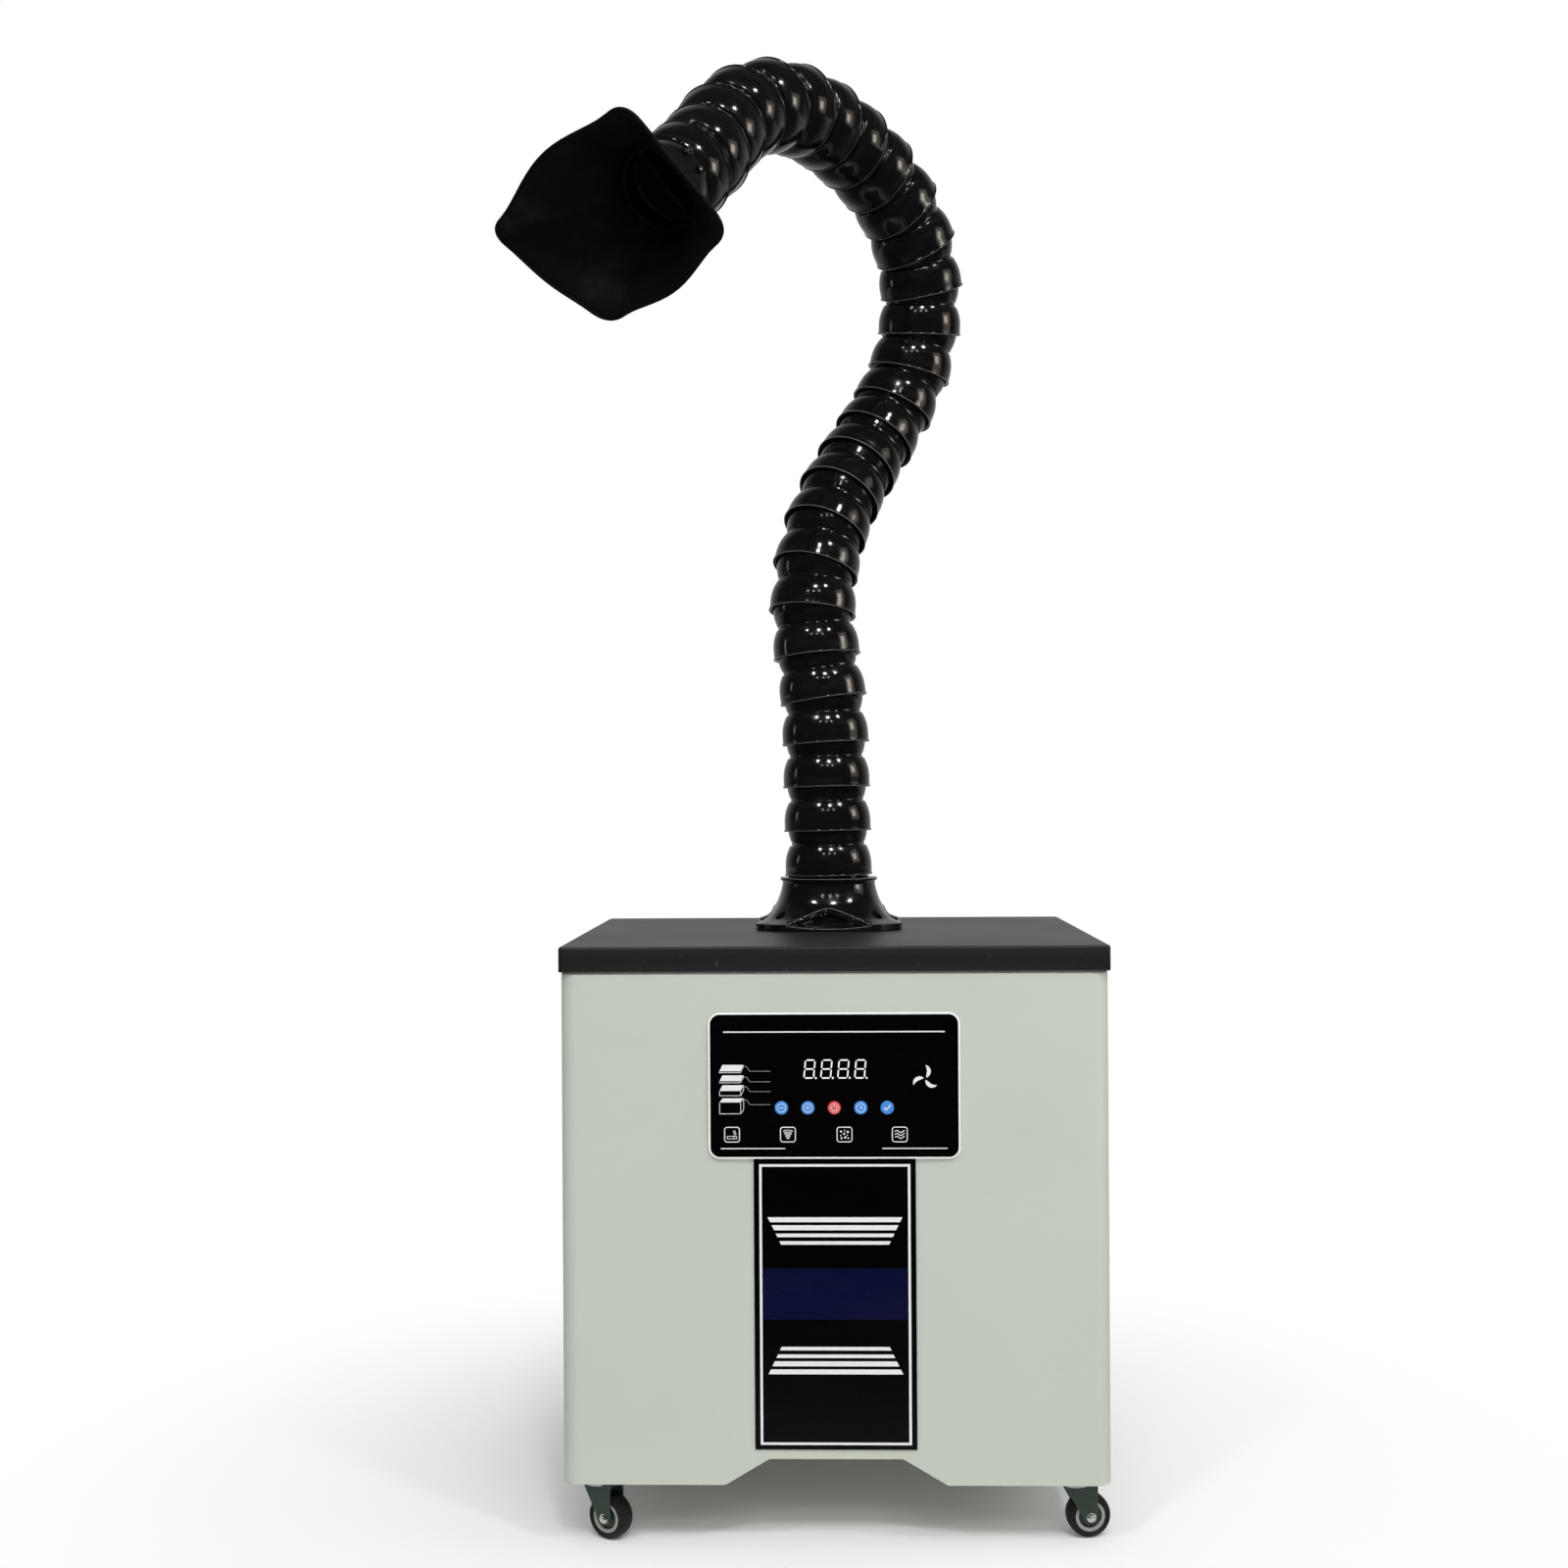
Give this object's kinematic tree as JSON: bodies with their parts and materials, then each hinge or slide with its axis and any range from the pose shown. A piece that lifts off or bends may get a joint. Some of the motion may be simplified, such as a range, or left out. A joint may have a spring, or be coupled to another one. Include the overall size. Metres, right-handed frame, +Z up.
{
  "type": "solder fume extractor",
  "caption": "Mobile solder fume extractor: sheet-metal filter cabinet on swivel casters with a lid-mounted, ball-jointed suction arm and flared hood.",
  "frame": {"origin": "centre of the whole object's bounding box in plan, on the floor under the casters", "axes": "+Z up; the control panel faces -Y; +X is to the right when facing the panel"},
  "size_m": [0.5318, 0.5244, 1.3722],
  "materials": {
    "cabinet_paint": "satin",
    "lid_paint": "satin",
    "gasket_foam": "matte",
    "gloss_black_plastic": "gloss",
    "matt_black_plastic": "matte",
    "knob_plastic": "matte",
    "fascia_film": "satin",
    "blue_key": "satin",
    "red_key": "satin",
    "plate_film": "satin",
    "caster_enamel": "satin",
    "tyre_rubber": "matte",
    "zinc_steel": "satin",
    "motor_paint": "satin",
    "impeller_plastic": "matte",
    "carbon_box": "matte",
    "filter_media": "matte"
  },
  "bodies": {
    "cabinet": {"cabinet_shell": "cabinet_paint", "rear_panel": "cabinet_paint", "base_plate": "cabinet_paint", "control_fascia": "fascia_film", "front_label_plate": "plate_film", "filter_shelf": "zinc_steel", "hepa_carbon_box": "carbon_box", "medium_filter": "filter_media", "primary_filter": "filter_media", "washable_prefilter": "filter_media", "blower_housing": "zinc_steel", "blower_motor": "motor_paint", "power_inlet": "matt_black_plastic"},
    "lid": {"top_lid": "lid_paint", "lid_gasket": "gasket_foam", "arm_flange": "gloss_black_plastic"},
    "bell_01": {"arm_link_01": "gloss_black_plastic"},
    "bell_02": {"arm_link_02": "gloss_black_plastic"},
    "bell_03": {"arm_link_03": "gloss_black_plastic"},
    "bell_04": {"arm_link_04": "gloss_black_plastic"},
    "bell_05": {"arm_link_05": "gloss_black_plastic"},
    "bell_06": {"arm_link_06": "gloss_black_plastic"},
    "bell_07": {"arm_link_07": "gloss_black_plastic"},
    "bell_08": {"arm_link_08": "gloss_black_plastic"},
    "bell_09": {"arm_link_09": "gloss_black_plastic"},
    "bell_10": {"arm_link_10": "gloss_black_plastic"},
    "bell_11": {"arm_link_11": "gloss_black_plastic"},
    "bell_12": {"arm_link_12": "gloss_black_plastic"},
    "bell_13": {"arm_link_13": "gloss_black_plastic"},
    "bell_14": {"arm_link_14": "gloss_black_plastic"},
    "bell_15": {"arm_link_15": "gloss_black_plastic"},
    "bell_16": {"arm_link_16": "gloss_black_plastic"},
    "bell_17": {"arm_link_17": "gloss_black_plastic"},
    "bell_18": {"arm_link_18": "gloss_black_plastic"},
    "bell_19": {"arm_link_19": "gloss_black_plastic"},
    "bell_20": {"arm_link_20": "gloss_black_plastic"},
    "bell_21": {"arm_link_21": "gloss_black_plastic"},
    "bell_22": {"arm_link_22": "gloss_black_plastic"},
    "bell_23": {"arm_link_23": "gloss_black_plastic"},
    "bell_24": {"arm_link_24": "gloss_black_plastic"},
    "bell_25": {"arm_link_25": "gloss_black_plastic"},
    "bell_26": {"arm_link_26": "gloss_black_plastic"},
    "hood": {"hood_collar": "gloss_black_plastic", "fume_hood": "matt_black_plastic"},
    "damper": {"damper_flap": "knob_plastic", "damper_knob": "knob_plastic"},
    "impeller": {"blower_impeller": "impeller_plastic"},
    "key_fan_down": {"button_fan_down": "blue_key"},
    "key_fan_up": {"button_fan_up": "blue_key"},
    "key_power": {"button_power": "red_key"},
    "key_timer": {"button_timer": "blue_key"},
    "key_set": {"button_set": "blue_key"},
    "swivel_front_left": {"caster_fork_front_left": "caster_enamel"},
    "wheel_front_left": {"caster_wheel_front_left": "tyre_rubber"},
    "swivel_front_right": {"caster_fork_front_right": "caster_enamel"},
    "wheel_front_right": {"caster_wheel_front_right": "tyre_rubber"},
    "swivel_rear_left": {"caster_fork_rear_left": "caster_enamel"},
    "wheel_rear_left": {"caster_wheel_rear_left": "tyre_rubber"},
    "swivel_rear_right": {"caster_fork_rear_right": "caster_enamel"},
    "wheel_rear_right": {"caster_wheel_rear_right": "tyre_rubber"}
  },
  "joints": [
    {"name": "lid_lift", "type": "slide", "parent": "cabinet", "child": "lid", "axis": [0, 0, 1], "range_m": [0, 0.15]},
    {"name": "damper_turn", "type": "hinge", "parent": "hood", "child": "damper", "pos_m": [-0.12217, -0.13604, 1.19666], "axis": [-0.607, -0.2395, 0.7577], "range_deg": [0, 90]},
    {"name": "hood_turn", "type": "hinge", "parent": "bell_26", "child": "hood", "pos_m": [-0.10596, -0.11149, 1.21741], "axis": [-0.4503, -0.682, -0.5763], "range_deg": [-180, 180]},
    {"name": "key_fan_down_press", "type": "slide", "parent": "cabinet", "child": "key_fan_down", "axis": [0, 1, 0], "range_m": [0, 0.0006], "stiffness_N_per_m": 600, "springref_m": -0.0005},
    {"name": "key_fan_up_press", "type": "slide", "parent": "cabinet", "child": "key_fan_up", "axis": [0, 1, 0], "range_m": [0, 0.0006], "stiffness_N_per_m": 600, "springref_m": -0.0005},
    {"name": "key_power_press", "type": "slide", "parent": "cabinet", "child": "key_power", "axis": [0, 1, 0], "range_m": [0, 0.0006], "stiffness_N_per_m": 600, "springref_m": -0.0005},
    {"name": "key_timer_press", "type": "slide", "parent": "cabinet", "child": "key_timer", "axis": [0, 1, 0], "range_m": [0, 0.0006], "stiffness_N_per_m": 600, "springref_m": -0.0005},
    {"name": "key_set_press", "type": "slide", "parent": "cabinet", "child": "key_set", "axis": [0, 1, 0], "range_m": [0, 0.0006], "stiffness_N_per_m": 600, "springref_m": -0.0005},
    {"name": "swivel_front_left", "type": "hinge", "parent": "cabinet", "child": "swivel_front_left", "pos_m": [-0.19034, -0.10166, 0.05], "axis": [0, 0, 1], "continuous": true},
    {"name": "swivel_front_right", "type": "hinge", "parent": "cabinet", "child": "swivel_front_right", "pos_m": [0.23366, -0.10166, 0.05], "axis": [0, 0, 1], "continuous": true},
    {"name": "swivel_rear_left", "type": "hinge", "parent": "cabinet", "child": "swivel_rear_left", "pos_m": [-0.19034, 0.20834, 0.05], "axis": [0, 0, 1], "continuous": true},
    {"name": "swivel_rear_right", "type": "hinge", "parent": "cabinet", "child": "swivel_rear_right", "pos_m": [0.23366, 0.20834, 0.05], "axis": [0, 0, 1], "continuous": true},
    {"name": "wheel_front_left_roll", "type": "hinge", "parent": "swivel_front_left", "child": "wheel_front_left", "pos_m": [-0.17995, -0.10766, 0.0195], "axis": [0.5, 0.866, 0], "continuous": true},
    {"name": "wheel_front_right_roll", "type": "hinge", "parent": "swivel_front_right", "child": "wheel_front_right", "pos_m": [0.24547, -0.09958, 0.0195], "axis": [-0.1736, 0.9848, 0], "continuous": true},
    {"name": "wheel_rear_left_roll", "type": "hinge", "parent": "swivel_rear_left", "child": "wheel_rear_left", "pos_m": [-0.17947, 0.20327, 0.0195], "axis": [0.4226, 0.9063, 0], "continuous": true},
    {"name": "wheel_rear_right_roll", "type": "hinge", "parent": "swivel_rear_right", "child": "wheel_rear_right", "pos_m": [0.24507, 0.21205, 0.0195], "axis": [-0.309, 0.9511, 0], "continuous": true},
    {"name": "impeller_spin", "type": "hinge", "parent": "cabinet", "child": "impeller", "pos_m": [0.02166, 0.03334, 0.1196], "axis": [0, 0, 1], "continuous": true},
    {"name": "arm_joint_01", "type": "hinge", "parent": "lid", "child": "bell_01", "pos_m": [0.01766, 0.10834, 0.5863], "axis": [0, 0, 1], "range_deg": [-180, 180]},
    {"name": "arm_joint_02", "type": "hinge", "parent": "bell_01", "child": "bell_02", "pos_m": [0.01689, 0.10834, 0.63029], "axis": [0.9998, 0.0003, 0.0174], "range_deg": [-16.5, 18.4]},
    {"name": "arm_joint_03", "type": "hinge", "parent": "bell_02", "child": "bell_03", "pos_m": [0.01612, 0.10911, 0.67428], "axis": [0, 0.9998, -0.0175], "range_deg": [-17.5, 17.5]},
    {"name": "arm_joint_04", "type": "hinge", "parent": "bell_03", "child": "bell_04", "pos_m": [0.01535, 0.10988, 0.71827], "axis": [-0.9986, -0.0009, -0.0523], "range_deg": [-17.5, 17.4]},
    {"name": "arm_joint_05", "type": "hinge", "parent": "bell_04", "child": "bell_05", "pos_m": [0.01305, 0.11064, 0.7622], "axis": [-0.9903, -0.0008, -0.1392], "range_deg": [-16.7, 16.7]},
    {"name": "arm_joint_06", "type": "hinge", "parent": "bell_05", "child": "bell_06", "pos_m": [0.00693, 0.11141, 0.80576], "axis": [-0.5482, 0.8313, -0.0917], "range_deg": [-21.1, 13.8]},
    {"name": "arm_joint_07", "type": "hinge", "parent": "bell_06", "child": "bell_07", "pos_m": [0.0031, 0.11371, 0.84954], "axis": [-0.8514, -0.5013, 0.1542], "range_deg": [-13.1, 13.1]},
    {"name": "arm_joint_08", "type": "hinge", "parent": "bell_07", "child": "bell_08", "pos_m": [0.00688, 0.1206, 0.89283], "axis": [0.6932, -0.7187, 0.0536], "range_deg": [-5.6, 29.3]},
    {"name": "arm_joint_09", "type": "hinge", "parent": "bell_08", "child": "bell_09", "pos_m": [0.01706, 0.13346, 0.93366], "axis": [0.5924, 0.6063, -0.5305], "range_deg": [-14.2, 14.2]},
    {"name": "arm_joint_10", "type": "hinge", "parent": "bell_09", "child": "bell_10", "pos_m": [0.03212, 0.15136, 0.97093], "axis": [-0.7563, 0.6542, -0.0086], "range_deg": [-24.8, 10.1]},
    {"name": "arm_joint_11", "type": "hinge", "parent": "bell_10", "child": "bell_11", "pos_m": [0.05019, 0.17269, 1.0049], "axis": [0, 0.8522, -0.5232], "range_deg": [-17.4, 17.4]},
    {"name": "arm_joint_12", "type": "hinge", "parent": "bell_11", "child": "bell_12", "pos_m": [0.06961, 0.19335, 1.03855], "axis": [-0.8918, 0.1352, 0.4319], "range_deg": [-11.4, 23.5]},
    {"name": "arm_joint_13", "type": "hinge", "parent": "bell_12", "child": "bell_13", "pos_m": [0.08939, 0.20983, 1.07423], "axis": [-0.2837, -0.9044, 0.3187], "range_deg": [-12.8, 12.8]},
    {"name": "arm_joint_14", "type": "hinge", "parent": "bell_13", "child": "bell_14", "pos_m": [0.10696, 0.21823, 1.11369], "axis": [0.7473, -0.6344, -0.1977], "range_deg": [-33, 1.9]},
    {"name": "arm_joint_15", "type": "hinge", "parent": "bell_14", "child": "bell_15", "pos_m": [0.1176, 0.21746, 1.15637], "axis": [0.7492, 0.6527, 0.1127], "range_deg": [-6.6, 6.6]},
    {"name": "arm_joint_16", "type": "hinge", "parent": "bell_15", "child": "bell_16", "pos_m": [0.1191, 0.20831, 1.19939], "axis": [-0.6033, 0.7755, 0.186], "range_deg": [-2.1, 32.8]},
    {"name": "arm_joint_17", "type": "hinge", "parent": "bell_16", "child": "bell_17", "pos_m": [0.11127, 0.19254, 1.23971], "axis": [-0.7115, -0.3738, -0.5951], "range_deg": [-5.8, 5.8]},
    {"name": "arm_joint_18", "type": "hinge", "parent": "bell_17", "child": "bell_18", "pos_m": [0.0938, 0.17121, 1.274], "axis": [0.6914, -0.7164, -0.0934], "range_deg": [-33, 1.9]},
    {"name": "arm_joint_19", "type": "hinge", "parent": "bell_18", "child": "bell_19", "pos_m": [0.06983, 0.14473, 1.2997], "axis": [0.1991, 0.3445, 0.9174], "range_deg": [-12.1, 12.1]},
    {"name": "arm_joint_20", "type": "hinge", "parent": "bell_19", "child": "bell_20", "pos_m": [0.04328, 0.11417, 1.31694], "axis": [-0.7952, 0.5611, -0.2296], "range_deg": [-6.8, 28.1]},
    {"name": "arm_joint_21", "type": "hinge", "parent": "bell_20", "child": "bell_21", "pos_m": [0.01671, 0.08046, 1.32661], "axis": [0.0736, -0.0946, -0.9928], "range_deg": [-13.7, 13.7]},
    {"name": "arm_joint_22", "type": "hinge", "parent": "bell_21", "child": "bell_22", "pos_m": [-0.00974, 0.04532, 1.328], "axis": [0.7992, -0.6008, 0.016], "range_deg": [-29.6, 5.3]},
    {"name": "arm_joint_23", "type": "hinge", "parent": "bell_22", "child": "bell_23", "pos_m": [-0.03564, 0.01065, 1.32008], "axis": [-0.2737, -0.3196, 0.9071], "range_deg": [-9.9, 9.9]},
    {"name": "arm_joint_24", "type": "hinge", "parent": "bell_23", "child": "bell_24", "pos_m": [-0.05929, -0.02153, 1.3016], "axis": [-0.7142, 0.6595, -0.2345], "range_deg": [-3.7, 31.2]},
    {"name": "arm_joint_25", "type": "hinge", "parent": "bell_24", "child": "bell_25", "pos_m": [-0.07757, -0.05097, 1.27449], "axis": [0.8336, 0.1493, -0.5319], "range_deg": [-16.1, 16.1]},
    {"name": "arm_joint_26", "type": "hinge", "parent": "bell_25", "child": "bell_26", "pos_m": [-0.09161, -0.07984, 1.2444], "axis": [-0.9434, 0.2888, 0.1629], "range_deg": [-22.9, 12]}
  ]
}
